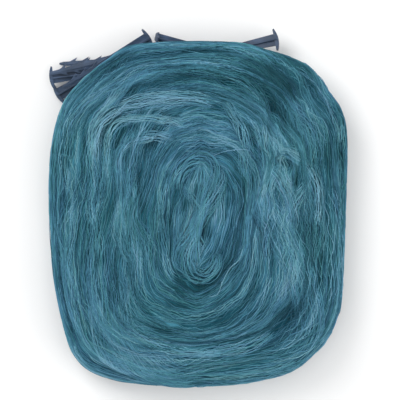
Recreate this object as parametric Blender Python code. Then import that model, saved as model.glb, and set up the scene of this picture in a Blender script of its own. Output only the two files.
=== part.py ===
# Pond net: 10 x 6 m of knotted twine mesh, gathered into a soft rope and wound into a fat, flat hank.
# Its plastic ground pegs lie under the top edge and stick out past it.
# The hank lies on its back. +X is the right of its face, +Y its top, +Z up. Sizes are in metres.
import math

import bmesh
import bpy
import numpy as np
from mathutils import Matrix, Vector
from mathutils.bvhtree import BVHTree

MM = 0.001

# Driving dimensions of the hank
CROWN_HEIGHT = 0.106          # floor to the flat of the face
CROWN_SWELL = 0.004           # by how much the crown rises and sinks around the hank
WAIST_HEIGHT = 0.050          # floor to the widest line of the rim
SHOULDER = 0.085              # how far inside the outline the face is level
TUCK = 0.070                  # how far inside the outline the underside meets the floor
PEG_TUCK = 0.130              # the same where the hank is propped up on the pegs
PEG_WAIST_HEIGHT = 0.070      # height of the rim's widest line there
SHOULDER_POWER = 2.3          # how squarely the section turns from the face to the rim
CROWN_SWELLS = 2              # how many times the crown rises in a round
CROWN_SWELL_PHASE = 1.0
EYE_HALF_WIDTH = 0.0045       # the closed slot that the innermost turn leaves in the middle
EYE_HALF_LENGTH = 0.066
EYE_CENTRE_Y = -0.006
EYE_BEND = 0.007              # by how much the slot wavers to the left and right
EYE_BEND_WAVES = 2.2
EYE_DEPTH = 0.030
EYE_ROUND = 0.030             # how far from the slot the face begins to dip into it

# Turns of the rope, counted from the slot over the rim to the floor
TURNS_ON_FACE = 4.5           # the middle of the fifth turn is the rim's widest line
TURNS_UNDER = 2.5
TURN_COUNT = 7
GROOVE_DEPTH = 0.0085         # between two turns
GROOVE_SHARPNESS = 2.6
GROOVE_LEAST = 0.55           # the depth's share where a groove is shallowest, and by how much it grows
GROOVE_SWELL = 0.60
GROOVE_PHASE_STEP = 1.7
SLOT_FADE = 0.6               # turns over which the grooves sink in from the slot and from the floor
FLOOR_FADE = 0.8
STEPS_ACROSS_TURN = (-1.0, -0.74, -0.38, 0.0, 0.38, 0.74)
STEPS_ALONG_RIM = 88
SUBSTEPS_ON_SECTION = 240     # how finely a section is measured before its rows are laid out
NORMAL_STEP = 0.02            # turns to either side of a row, between which its slope is measured
STEPS_BETWEEN_POINTS = 24     # of a smooth loop
EYE_POINTS = 96

# Outline of the hank from above, in millimetres, clockwise from the middle of its top
OUTLINE = (
    (-1, 255), (62, 249), (109, 239), (155, 222), (180, 200), (192, 182), (211, 157),
    (220, 127), (221, 79), (219, -24), (214, -124), (203, -170), (180, -204), (143, -235),
    (79, -252), (2, -257), (-87, -254), (-152, -238), (-184, -211), (-202, -165), (-214, -106),
    (-220, -39), (-222, 42), (-217, 109), (-202, 161), (-174, 196), (-139, 226), (-94, 249),
)

OUTLINE_LENGTH = 1.55         # once around the rim

# How each groove wanders: amplitude in parts of a turn, waves around the hank, and phase
GROOVE_WANDER = (
    # (amplitude, waves, phase)
    (0.10, 1, 0.2),
    (0.16, 2, 1.1),
    (0.14, 3, 2.3),
    (0.14, 2, 4.0),
    (0.12, 3, 5.2),
    (0.14, 2, 0.7),
)

# Deep pockets where two turns part
POCKETS = (
    # (groove, middle, half length, extra depth); the places are parts of the round
    (1, 0.915, 0.055, 0.0080),
    (2, 0.893, 0.045, 0.0100),
    (3, 0.872, 0.038, 0.0070),
    (2, 0.105, 0.055, 0.0110),
    (3, 0.130, 0.035, 0.0060),
    (3, 0.265, 0.050, 0.0065),
    (2, 0.455, 0.050, 0.0050),
    (3, 0.590, 0.060, 0.0055),
    (1, 0.640, 0.060, 0.0050),
)

# Ropes of net that run over the turns. Each begins and ends part of the way round the hank, counted
# clockwise from the middle of its top, and moves from one turn to another meanwhile.
CROSSINGS = (
    # (begin, end, from turn, to turn, half width in turns, height)
    (0.900, 1.110, 1.55, 1.80, 0.55, 0.0060),
    (0.000, 0.230, 4.00, 2.80, 0.58, 0.0085),
    (0.045, 0.270, 2.60, 1.60, 0.42, 0.0080),
    (0.180, 0.420, 1.60, 3.70, 0.50, 0.0100),
    (0.480, 0.690, 3.80, 2.60, 0.62, 0.0075),
    (0.620, 0.860, 1.60, 2.40, 0.45, 0.0065),
)
CROSSING_TAPER = 0.060        # length over which an end sinks into the turns

# The part of the round that is propped up on the pegs, and how softly it begins and ends
PROPPED_FROM = 0.800
PROPPED_TO = 1.120
PROPPED_TAPER = 0.060

# Driving dimensions of a ground peg
PEG_LENGTH = 0.150
FIN_HALF_WIDTH = 0.0026       # near the point
FIN_HALF_WIDTH_AT_HEAD = 0.0092
FIN_THICKNESS = 0.0024
TIP_HALF_WIDTH = 0.0012
TIP_LENGTH = 0.006
RIB_HALF_HEIGHT = 0.0014      # near the point
RIB_HALF_HEIGHT_AT_HEAD = 0.0062
RIB_START = 0.004
BARB_PLACES = (0.027, 0.045, 0.064)
BARB_LENGTH = 0.011
BARB_REACH = 0.0052
BARB_UNDERCUT = 0.0030
HEAD_HALF_WIDTH = 0.0165
HEAD_RADIUS = 0.0370
HEAD_THICKNESS = 0.0060
HEAD_TIP_THICKNESS = 0.0024
HEAD_DEPTH = 0.0080
HEAD_STEPS = 10

PEG_GAP = 0.0006              # how much a peg is swollen to keep its neighbours apart
PEG_RISE_STEP = 0.0002

# Pegs in the order in which they are laid down. The place is the middle of the head's outer face.
# The turn is the way from the head to the point, counted from +X, and the roll is about that line.
PEGS = (
    # (name, head x, head y, turn, roll, dip of the point)
    ("peg_1", -0.0588, 0.2283, 181.5, 4.0, 0.0),
    ("peg_2", -0.2135, 0.1767, 30.0, -6.0, -3.8),
    ("peg_3", -0.2228, 0.2025, 7.0, -14.0, 0.8),
    ("peg_4", -0.0755, 0.2419, 193.0, 8.0, -2.1),
    ("peg_5", -0.0718, 0.2619, 210.0, 18.0, -2.0),
    ("peg_6", -0.0650, 0.2640, -13.0, 72.0, 5.0),
    ("peg_7", 0.1191, 0.2591, 192.0, -11.0, 7.0),
)

NET_COLOUR = (0.055, 0.155, 0.185, 1.0)
NET_ROUGHNESS = 0.55
PEG_COLOUR = (0.018, 0.024, 0.036, 1.0)
PEG_ROUGHNESS = 0.38


def make_material(name, colour, roughness):
    material = bpy.data.materials.new(name)
    material.use_nodes = True
    shader = material.node_tree.nodes["Principled BSDF"]
    shader.inputs["Base Color"].default_value = colour
    shader.inputs["Roughness"].default_value = roughness
    shader.inputs["Metallic"].default_value = 0.0
    return material


def add_object(name, mesh, material):
    obj = bpy.data.objects.new(name, mesh)
    bpy.context.scene.collection.objects.link(obj)
    if not mesh.materials:
        mesh.materials.append(material)
    return obj


def soft_step(value):
    value = np.clip(value, 0.0, 1.0)
    return value * value * (3.0 - 2.0 * value)


# A closed smooth curve through the given points, with its points evenly spaced
def even_loop(points, count):
    points = np.array(points, dtype=float)
    before = np.roll(points, 1, axis=0)
    after = np.roll(points, -1, axis=0)
    after_next = np.roll(points, -2, axis=0)
    fine = []
    for u in np.linspace(0.0, 1.0, STEPS_BETWEEN_POINTS, endpoint=False):
        fine.append(0.5 * (
            2.0 * points
            + (after - before) * u
            + (2.0 * before - 5.0 * points + 4.0 * after - after_next) * u ** 2
            + (3.0 * points - before - 3.0 * after + after_next) * u ** 3
        ))
    fine = np.stack(fine, axis=1).reshape(-1, 2)
    closed = np.vstack([fine, fine[:1]])
    steps = np.linalg.norm(np.diff(closed, axis=0), axis=1)
    travelled = np.concatenate([[0.0], np.cumsum(steps)])
    wanted = np.linspace(0.0, travelled[-1], count, endpoint=False)
    return np.stack([np.interp(wanted, travelled, closed[:, axis]) for axis in (0, 1)], axis=1)


# The slot in the middle, clockwise from its top, matched point by point with the outline
def eye_loop(count):
    angles = np.linspace(0.0, 2.0 * math.pi, EYE_POINTS, endpoint=False)
    waver = EYE_BEND * np.sin(EYE_BEND_WAVES * np.cos(angles))
    points = np.stack([
        waver + EYE_HALF_WIDTH * np.sin(angles),
        EYE_CENTRE_Y + EYE_HALF_LENGTH * np.cos(angles),
    ], axis=1)
    return even_loop(points, count)


# How much of the pegs' prop a place on the round has, from 0 to 1
def propped_share(part_of_round):
    middle = 0.5 * (PROPPED_FROM + PROPPED_TO)
    half = 0.5 * (PROPPED_TO - PROPPED_FROM)
    away = np.abs((part_of_round - middle + 0.5) % 1.0 - 0.5)
    return soft_step((half + PROPPED_TAPER - away) / PROPPED_TAPER)


# Section of the hank from the slot over the rim to the floor: distance from the outline, and height
def plain_section(width, part_of_round):
    propped = float(propped_share(part_of_round))
    swell = math.sin(2.0 * math.pi * CROWN_SWELLS * part_of_round + CROWN_SWELL_PHASE)
    crown = CROWN_HEIGHT + CROWN_SWELL * swell
    waist = WAIST_HEIGHT + (PEG_WAIST_HEIGHT - WAIST_HEIGHT) * propped
    tuck = TUCK + (PEG_TUCK - TUCK) * propped
    face_in = width * (1.0 - np.linspace(0.0, 1.0, SUBSTEPS_ON_SECTION) ** 2)
    shoulder = 1.0 - np.clip(face_in / SHOULDER, 0.0, 1.0)
    face_z = waist + (crown - waist) * (1.0 - shoulder ** SHOULDER_POWER) ** (1.0 / SHOULDER_POWER)
    from_eye = 1.0 - np.clip((width - face_in) / EYE_ROUND, 0.0, 1.0)
    face_z = face_z - EYE_DEPTH * (1.0 - np.sqrt(1.0 - from_eye ** 2))
    under = np.linspace(0.0, 0.5 * math.pi, SUBSTEPS_ON_SECTION // 2)
    under_in = tuck * (1.0 - np.cos(under))
    under_z = waist * (1.0 - np.sin(under))
    return (face_in, face_z), (under_in, under_z)


# Points at even parts of a curve's own length
def along(curve, parts):
    steps = np.hypot(np.diff(curve[0]), np.diff(curve[1]))
    travelled = np.concatenate([[0.0], np.cumsum(steps)])
    wanted = np.asarray(parts) * travelled[-1]
    return np.interp(wanted, travelled, curve[0]), np.interp(wanted, travelled, curve[1])


# Borders of the turns at one place on the round, in turns from the slot
def turn_borders(part_of_round):
    borders = [0.0]
    for index, (amplitude, waves, phase) in enumerate(GROOVE_WANDER):
        wander = amplitude * math.sin(2.0 * math.pi * waves * part_of_round + phase)
        borders.append(index + 1.0 + wander)
    borders.append(float(TURN_COUNT))
    return borders


# Depth of the groove on the outer side of a turn; groove 0 is the slot itself
def groove_depth(groove, part_of_round):
    waves = 1 + groove % 3
    swell = math.sin(2.0 * math.pi * part_of_round * waves + GROOVE_PHASE_STEP * groove)
    depth = GROOVE_DEPTH * (GROOVE_LEAST + GROOVE_SWELL * 0.5 * (1.0 + swell))
    for pocket_groove, middle, half_length, extra in POCKETS:
        away = abs((part_of_round - middle + 0.5) % 1.0 - 0.5) / half_length
        if pocket_groove == groove and away < 1.0:
            depth += extra * float(soft_step(1.0 - away))
    return depth


def round_length(turn):
    share = min(turn / TURNS_ON_FACE, 1.0)
    return 4.0 * EYE_HALF_LENGTH + (OUTLINE_LENGTH - 4.0 * EYE_HALF_LENGTH) * share


# How far the ropes that run over the turns stand out at one point
def crossing_height(turn, part_of_round):
    highest = 0.0
    for begin, end, from_turn, to_turn, half_width, height in CROSSINGS:
        for whole in (0.0, 1.0):
            place = part_of_round + whole
            if begin <= place <= end:
                share = (place - begin) / (end - begin)
                middle = from_turn + (to_turn - from_turn) * float(soft_step(share))
                across = abs(turn - middle) / half_width
                ends = min(place - begin, end - place) * round_length(middle) / CROSSING_TAPER
                if across < 1.0:
                    rise = height * (1.0 - across ** 2) * float(soft_step(ends))
                    highest = max(highest, rise)
    return highest


# Rows of points from the slot over the rim to the floor, for one place on the round
def section_rows(outer, inner, part_of_round):
    width = float(np.linalg.norm(outer - inner))
    toward_eye = (inner - outer) / width
    face, under = plain_section(width, part_of_round)
    borders = turn_borders(part_of_round)
    turns = []
    sink = []
    for index in range(TURN_COUNT):
        centre = 0.5 * (borders[index] + borders[index + 1])
        half = 0.5 * (borders[index + 1] - borders[index])
        for across in STEPS_ACROSS_TURN:
            turn = centre + half * across
            groove = index if across < 0.0 else index + 1
            depth = groove_depth(groove, part_of_round) * abs(across) ** GROOVE_SHARPNESS
            turns.append(turn)
            sink.append(crossing_height(turn, part_of_round) - depth)
    turns.append(float(TURN_COUNT))
    sink.append(0.0)
    turns = np.array(turns)
    sink = np.array(sink)
    sink *= soft_step(turns / SLOT_FADE) * soft_step((TURN_COUNT - turns) / FLOOR_FADE)
    rows = []
    for turn, rise in zip(turns, sink):
        place = []
        for near in (turn - NORMAL_STEP, turn, turn + NORMAL_STEP):
            near = min(max(near, 0.0), float(TURN_COUNT))
            if near <= TURNS_ON_FACE:
                inward, height = along(face, [near / TURNS_ON_FACE])
            else:
                inward, height = along(under, [(near - TURNS_ON_FACE) / TURNS_UNDER])
            place.append((float(inward[0]), float(height[0])))
        run_in = place[2][0] - place[0][0]
        run_up = place[2][1] - place[0][1]
        length = math.hypot(run_in, run_up)
        normal_in = run_up / length
        normal_up = -run_in / length
        inward = place[1][0] + normal_in * rise
        height = max(place[1][1] + normal_up * rise, 0.0)
        plan = outer + toward_eye * inward
        rows.append((float(plan[0]), float(plan[1]), height))
    return rows


def build_hank(material):
    outer = even_loop([(x * MM, y * MM) for x, y in OUTLINE], STEPS_ALONG_RIM)
    inner = eye_loop(STEPS_ALONG_RIM)
    columns = []
    for step in range(STEPS_ALONG_RIM):
        columns.append(section_rows(outer[step], inner[step], step / STEPS_ALONG_RIM))
    shape = bmesh.new()
    grid = [[shape.verts.new(point) for point in column] for column in columns]
    row_count = len(columns[0])
    for step in range(STEPS_ALONG_RIM):
        here = grid[step]
        there = grid[(step + 1) % STEPS_ALONG_RIM]
        for row in range(row_count - 1):
            shape.faces.new((here[row], there[row], there[row + 1], here[row + 1]))
    slot_floor = shape.faces.new([column[0] for column in grid])
    shape.faces.new([column[-1] for column in reversed(grid)])
    bmesh.ops.poke(shape, faces=[slot_floor])
    bmesh.ops.recalc_face_normals(shape, faces=shape.faces[:])
    bmesh.ops.triangulate(shape, faces=shape.faces[:])
    mesh = bpy.data.meshes.new("net_hank")
    shape.to_mesh(mesh)
    shape.free()
    mesh.shade_smooth()
    mesh.materials.append(material)
    return add_object("net_hank", mesh, material)


# Upper edge of the peg's fin from its point to its head, with the barbs that grip the ground
def fin_edge():
    def half_width(place):
        share = place / PEG_LENGTH
        return FIN_HALF_WIDTH + (FIN_HALF_WIDTH_AT_HEAD - FIN_HALF_WIDTH) * share

    edge = [(0.0, TIP_HALF_WIDTH), (TIP_LENGTH, half_width(TIP_LENGTH))]
    for place in BARB_PLACES:
        edge.append((place - BARB_LENGTH, half_width(place - BARB_LENGTH)))
        edge.append((place, half_width(place) + BARB_REACH))
        edge.append((place - BARB_UNDERCUT, half_width(place)))
    edge.append((PEG_LENGTH - HEAD_THICKNESS * 0.5, half_width(PEG_LENGTH)))
    return edge


def rib_edge():
    return [
        (RIB_START, RIB_HALF_HEIGHT),
        (PEG_LENGTH - HEAD_THICKNESS * 0.5, RIB_HALF_HEIGHT_AT_HEAD),
    ]


# Crescent of the head: its middle is thick and lies at the peg's full length, its tips sweep back
def head_outline():
    reach = math.asin(HEAD_HALF_WIDTH / HEAD_RADIUS)
    outer = []
    inner = []
    for step in range(HEAD_STEPS + 1):
        share = 2.0 * step / HEAD_STEPS - 1.0
        angle = reach * share
        thickness = HEAD_TIP_THICKNESS + (HEAD_THICKNESS - HEAD_TIP_THICKNESS) * (1.0 - share ** 2)
        for points, radius in ((outer, HEAD_RADIUS), (inner, HEAD_RADIUS - thickness)):
            points.append((
                PEG_LENGTH - HEAD_RADIUS + radius * math.cos(angle),
                radius * math.sin(angle),
            ))
    return outer + inner[::-1]


# A flat outline made into a closed slab, in the XY plane or, for the rib, in the XZ plane
def slab(name, outline, thickness, upright=False):
    shape = bmesh.new()
    corners = [shape.verts.new((x, y, -0.5 * thickness)) for x, y in outline]
    face = shape.faces.new(corners)
    raised = bmesh.ops.extrude_face_region(shape, geom=[face])
    moved = [item for item in raised["geom"] if isinstance(item, bmesh.types.BMVert)]
    bmesh.ops.translate(shape, vec=(0.0, 0.0, thickness), verts=moved)
    if upright:
        bmesh.ops.rotate(shape, matrix=Matrix.Rotation(0.5 * math.pi, 3, "X"), verts=shape.verts[:])
    bmesh.ops.recalc_face_normals(shape, faces=shape.faces[:])
    mesh = bpy.data.meshes.new(name)
    shape.to_mesh(mesh)
    shape.free()
    return bpy.data.objects.new(name, mesh)


def mirrored(edge):
    return edge + [(x, -y) for x, y in reversed(edge)]


def build_peg_mesh(material):
    body = slab("peg_fin", mirrored(fin_edge()), FIN_THICKNESS)
    rib = slab("peg_rib", mirrored(rib_edge()), FIN_THICKNESS, upright=True)
    head = slab("peg_head", head_outline(), HEAD_DEPTH)
    scene = bpy.context.scene.collection
    for piece in (body, rib, head):
        scene.objects.link(piece)
    for piece in (rib, head):
        join = body.modifiers.new("join", "BOOLEAN")
        join.operation = "UNION"
        join.solver = "EXACT"
        join.object = piece
    bpy.context.view_layer.update()
    depsgraph = bpy.context.evaluated_depsgraph_get()
    mesh = bpy.data.meshes.new_from_object(body.evaluated_get(depsgraph))
    for piece in (body, rib, head):
        bpy.data.objects.remove(piece)
    shape = bmesh.new()
    shape.from_mesh(mesh)
    bmesh.ops.triangulate(shape, faces=shape.faces[:])
    shape.to_mesh(mesh)
    shape.free()
    mesh.name = "peg"
    mesh.materials.clear()
    mesh.materials.append(material)
    return mesh


# Matrix that puts the head's outer face at its place, the point in the given direction
def peg_matrix(head_x, head_y, turn, roll, dip):
    return (
        Matrix.Translation((head_x, head_y, 0.0))
        @ Matrix.Rotation(math.radians(turn + 180.0), 4, "Z")
        @ Matrix.Rotation(math.radians(-dip), 4, "Y")
        @ Matrix.Rotation(math.radians(roll), 4, "X")
        @ Matrix.Translation((-PEG_LENGTH, 0.0, 0.0))
    )


# Lays each peg down on the floor or on the pegs that already lie there. A peg swollen by the gap is
# raised until it cuts none of them.
def lay_pegs(mesh, material):
    faces = [tuple(face.vertices) for face in mesh.polygons]
    laid = []
    for name, head_x, head_y, turn, roll, dip in PEGS:
        matrix = peg_matrix(head_x, head_y, turn, roll, dip)
        flat = [matrix @ vertex.co for vertex in mesh.vertices]
        swollen = [matrix @ (vertex.co + vertex.normal * PEG_GAP) for vertex in mesh.vertices]
        lift = -min(corner.z for corner in flat)
        while True:
            raised = [corner + Vector((0.0, 0.0, lift)) for corner in swollen]
            tree = BVHTree.FromPolygons(raised, faces)
            if not any(tree.overlap(other) for other in laid):
                break
            lift += PEG_RISE_STEP
        final = [corner + Vector((0.0, 0.0, lift)) for corner in flat]
        laid.append(BVHTree.FromPolygons(final, faces))
        peg = add_object(name, mesh, material)
        peg.matrix_world = Matrix.Translation((0.0, 0.0, lift)) @ matrix


# Moves everything so that the origin is under the middle of the whole part
def centre_on_origin():
    bpy.context.view_layer.update()
    corners = []
    for obj in bpy.context.scene.objects:
        corners += [obj.matrix_world @ vertex.co for vertex in obj.data.vertices]
    middle_x = 0.5 * (min(c.x for c in corners) + max(c.x for c in corners))
    middle_y = 0.5 * (min(c.y for c in corners) + max(c.y for c in corners))
    shift = Matrix.Translation((-middle_x, -middle_y, 0.0))
    for obj in bpy.context.scene.objects:
        obj.matrix_world = shift @ obj.matrix_world


def main():
    for obj in list(bpy.data.objects):
        bpy.data.objects.remove(obj)
    net = make_material("net_twine", NET_COLOUR, NET_ROUGHNESS)
    plastic = make_material("peg_plastic", PEG_COLOUR, PEG_ROUGHNESS)
    build_hank(net)
    lay_pegs(build_peg_mesh(plastic), plastic)
    centre_on_origin()


main()
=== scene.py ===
# Pond net wound into a flat hank on its ground pegs: twines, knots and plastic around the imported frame.
# Metres. +X is the right of the hank's face, +Y its top, +Z up.
import math

import bmesh
import bpy
import numpy as np
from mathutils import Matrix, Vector
from mathutils.kdtree import KDTree


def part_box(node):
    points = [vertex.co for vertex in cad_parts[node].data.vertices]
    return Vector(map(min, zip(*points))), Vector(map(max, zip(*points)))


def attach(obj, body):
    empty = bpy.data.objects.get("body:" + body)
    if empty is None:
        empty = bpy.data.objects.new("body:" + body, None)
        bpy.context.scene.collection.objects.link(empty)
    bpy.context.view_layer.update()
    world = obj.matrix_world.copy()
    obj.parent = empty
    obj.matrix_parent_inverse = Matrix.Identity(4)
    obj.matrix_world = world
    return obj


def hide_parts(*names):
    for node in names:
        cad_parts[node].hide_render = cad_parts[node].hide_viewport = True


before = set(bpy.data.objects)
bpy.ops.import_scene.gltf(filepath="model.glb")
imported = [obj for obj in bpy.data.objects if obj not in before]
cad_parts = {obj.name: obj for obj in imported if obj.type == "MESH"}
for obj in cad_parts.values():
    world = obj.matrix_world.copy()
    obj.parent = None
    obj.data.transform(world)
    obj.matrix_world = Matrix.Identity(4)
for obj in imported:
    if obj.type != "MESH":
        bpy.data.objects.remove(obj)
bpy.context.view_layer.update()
mm = 0.001
mergeWithin = 1e-6  # metres between points that are one
curveSteps = 24     # points from one given point of a curve to the next
rng = np.random.default_rng(1006)  # every random draw comes from here, in a fixed order

# Form of the hank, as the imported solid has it
hankForm = {
    "crownHeight": 0.106,      # floor to the flat of the face
    "crownSwell": 0.004,       # the face swells and sinks by this
    "crownSwells": 2,          # times in a round
    "crownPhase": 1.0,
    "waistHeight": 0.050,      # floor to the widest line of the rim
    "waistOnPegs": 0.070,      # and where the hank lies on the pegs
    "shoulder": 0.085,         # how far inside the outline the face is level
    "shoulderPower": 2.3,
    "tuck": 0.070,             # how far inside the outline the underside meets the floor
    "tuckOnPegs": 0.130,
    "slotHalfWidth": 0.0045,   # the closed slot inside the innermost turn
    "slotHalfLength": 0.066,
    "slotMiddle": -0.006,
    "slotBend": 0.007,
    "slotBendWaves": 2.2,
    "slotDepth": 0.030,
    "slotRound": 0.030,
    "turnsOnFace": 4.5,        # the middle of the fifth turn is the rim's widest line
    "turns": 7,                # to the line where the underside meets the floor
    "turnsAndFoot": 9.5,       # the foot's turns lie flat on the floor
    "footReach": 0.96,         # how far towards the slot they go
    "grooveDepth": 0.0085,
    "grooveSharpness": 2.6,
    "grooveLeast": 0.55,       # share of the depth that is left where a groove is shallowest
    "grooveSwell": 0.60,
    "groovePhaseStep": 1.7,
    "ropeFills": 0.7,          # share of a groove's depth that a rope over it takes up
    "ropeFillsFrom": 0.006,    # height from which it does so fully
    "slotFade": 0.6,           # turns over which the grooves sink in from the slot and from the floor
    "floorFade": 0.8,
    "footGrooves": 0.4,        # share of the depth under the hank
    "outlineLength": 1.55,     # once around the rim, in metres
    "softGrooves": 0.80,       # share of the depth in the surface for locks, which bridge the grooves
    "crossingTaper": 0.060,    # length over which a rope's end rises
    "onPegs": (0.800, 1.120, 0.060),  # from, to and taper, in parts of the round
    "columns": 528,
    "rowsInTurn": 26,
    "slotSteps": 96,
    "sectionSteps": (240, 120, 30),   # over the face, under the rim and under the hank
    "turnsFromAbove": 4.75,    # that can be found by their place in the plan
    "leastUpright": 0.35,      # a steeper slope isn't followed there
}

# Outline from above, in millimetres, clockwise from the middle of the top
hankOutline = (
    (-1, 255), (62, 249), (109, 239), (155, 222), (180, 200), (192, 182), (211, 157),
    (220, 127), (221, 79), (219, -24), (214, -124), (203, -170), (180, -204), (143, -235),
    (79, -252), (2, -257), (-87, -254), (-152, -238), (-184, -211), (-202, -165), (-214, -106),
    (-220, -39), (-222, 42), (-217, 109), (-202, 161), (-174, 196), (-139, 226), (-94, 249),
)

grooveWander = (  # amplitude in turns, waves in a round, phase
    (0.10, 1, 0.2), (0.16, 2, 1.1), (0.14, 3, 2.3), (0.14, 2, 4.0), (0.12, 3, 5.2), (0.14, 2, 0.7),
)

pockets = (  # groove, middle and half length in parts of the round, extra depth
    (1, 0.915, 0.055, 0.0080), (2, 0.893, 0.045, 0.0100), (3, 0.872, 0.038, 0.0070),
    (2, 0.105, 0.055, 0.0110), (3, 0.130, 0.035, 0.0060), (3, 0.265, 0.050, 0.0065),
    (2, 0.455, 0.050, 0.0050), (3, 0.590, 0.060, 0.0055), (1, 0.640, 0.060, 0.0050),
)

crossings = (  # ropes over the turns: begin and end on the round, from turn, to turn, half width, height
    (0.900, 1.110, 1.55, 1.80, 0.55, 0.0060),
    (0.000, 0.230, 4.00, 2.80, 0.58, 0.0085),
    (0.045, 0.270, 2.60, 1.60, 0.42, 0.0080),
    (0.180, 0.420, 1.60, 3.70, 0.50, 0.0100),
    (0.480, 0.690, 3.80, 2.60, 0.62, 0.0075),
    (0.620, 0.860, 1.60, 2.40, 0.45, 0.0065),
)


def softStep(value):
    value = np.clip(value, 0.0, 1.0)
    return value * value * (3.0 - 2.0 * value)


def unit(vectors):
    return vectors / np.maximum(np.linalg.norm(vectors, axis=-1, keepdims=True), 1e-12)


def smoothCurve(points, steps, closed):  # Catmull-Rom through the given points
    points = np.array(points, dtype=float)
    if not closed:
        points = np.vstack([2.0 * points[0] - points[1], points, 2.0 * points[-1] - points[-2]])
    before = np.roll(points, 1, axis=0)
    after = np.roll(points, -1, axis=0)
    afterNext = np.roll(points, -2, axis=0)
    fine = []
    for u in np.linspace(0.0, 1.0, steps, endpoint=False):
        fine.append(0.5 * (
            2.0 * points
            + (after - before) * u
            + (2.0 * before - 5.0 * points + 4.0 * after - afterNext) * u ** 2
            + (3.0 * points - before - 3.0 * after + afterNext) * u ** 3
        ))
    fine = np.stack(fine, axis=1)
    if closed:
        fine = fine.reshape(-1, points.shape[1])
        return np.vstack([fine, fine[:1]])
    return np.vstack([fine[1:-2].reshape(-1, points.shape[1]), points[-2:-1]])


def evenly(points, count, closed):  # the same line with evenly spaced points
    travelled = np.concatenate([[0.0], np.cumsum(np.linalg.norm(np.diff(points, axis=0), axis=1))])
    wanted = np.linspace(0.0, travelled[-1], count, endpoint=not closed)
    return np.stack([np.interp(wanted, travelled, axis) for axis in points.T], axis=1)


def evenLoop(points, count):
    return evenly(smoothCurve(points, curveSteps, True), count, True)


def slotLoop(count):
    form = hankForm
    angles = np.linspace(0.0, 2.0 * math.pi, form["slotSteps"], endpoint=False)
    waver = form["slotBend"] * np.sin(form["slotBendWaves"] * np.cos(angles))
    points = np.stack([
        waver + form["slotHalfWidth"] * np.sin(angles),
        form["slotMiddle"] + form["slotHalfLength"] * np.cos(angles),
    ], axis=1)
    return evenLoop(points, count)


def roundAway(part, middle):  # distance between two places on the round
    return np.abs((part - middle + 0.5) % 1.0 - 0.5)


def turnBorders(part):  # the grooves between the turns, at each place on the round
    borders = [np.zeros_like(part)]
    for index, (amplitude, waveCount, phase) in enumerate(grooveWander):
        borders.append(index + 1.0 + amplitude * np.sin(2.0 * math.pi * waveCount * part + phase))
    borders.append(np.full_like(part, hankForm["turns"]))
    return np.stack(borders, axis=1)


def edgesOfTurn(index, part):  # the grooves on both sides of it
    borders = turnBorders(part)
    row = np.arange(len(part))
    return borders[row, index], borders[row, index + 1]


def wanderingTurn(turn, part):  # an even count of turns, moved to where the grooves wander
    index = np.clip(np.floor(turn).astype(int), 0, hankForm["turns"] - 1)
    low, high = edgesOfTurn(index, part)
    return np.where(turn > hankForm["turns"], turn, low + (turn - index) * (high - low))


def evenTurn(turn, part):  # the other way round
    index = np.sum(turn[:, None] >= turnBorders(part)[:, 1:-1], axis=1)
    low, high = edgesOfTurn(index, part)
    return np.where(turn > hankForm["turns"], turn, index + (turn - low) / (high - low))


def grooveDepth(groove, part):
    form = hankForm
    swell = np.sin(2.0 * math.pi * part * (1 + groove % 3) + form["groovePhaseStep"] * groove)
    depth = form["grooveDepth"] * (form["grooveLeast"] + form["grooveSwell"] * 0.5 * (1.0 + swell))
    for pocketGroove, middle, halfLength, extra in pockets:
        share = softStep(1.0 - roundAway(part, middle) / halfLength)
        depth = depth + np.where(groove == pocketGroove, extra * share, 0.0)
    return depth


def grooveSink(turn, part):  # how deep the grooves are at an even count of turns
    across = 2.0 * (turn % 1.0) - 1.0
    groove = np.floor(turn).astype(int) + (across > 0.0)
    return grooveDepth(groove, part) * np.abs(across) ** hankForm["grooveSharpness"]


def roundLength(turn):
    slotLength = 4.0 * hankForm["slotHalfLength"]
    share = np.minimum(turn / hankForm["turnsOnFace"], 1.0)
    return slotLength + (hankForm["outlineLength"] - slotLength) * share


def crossingHeight(turn, part):
    highest = np.zeros_like(turn)
    for begin, end, fromTurn, toTurn, halfWidth, height in crossings:
        for whole in (0.0, 1.0):
            place = part + whole
            middle = fromTurn + (toTurn - fromTurn) * softStep((place - begin) / (end - begin))
            across = np.clip(np.abs(turn - middle) / halfWidth, 0.0, 1.0)
            ends = np.minimum(place - begin, end - place) * roundLength(middle)
            taper = softStep(ends / hankForm["crossingTaper"])
            highest = np.maximum(highest, height * (1.0 - across ** 2) * taper)
    return highest


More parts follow.
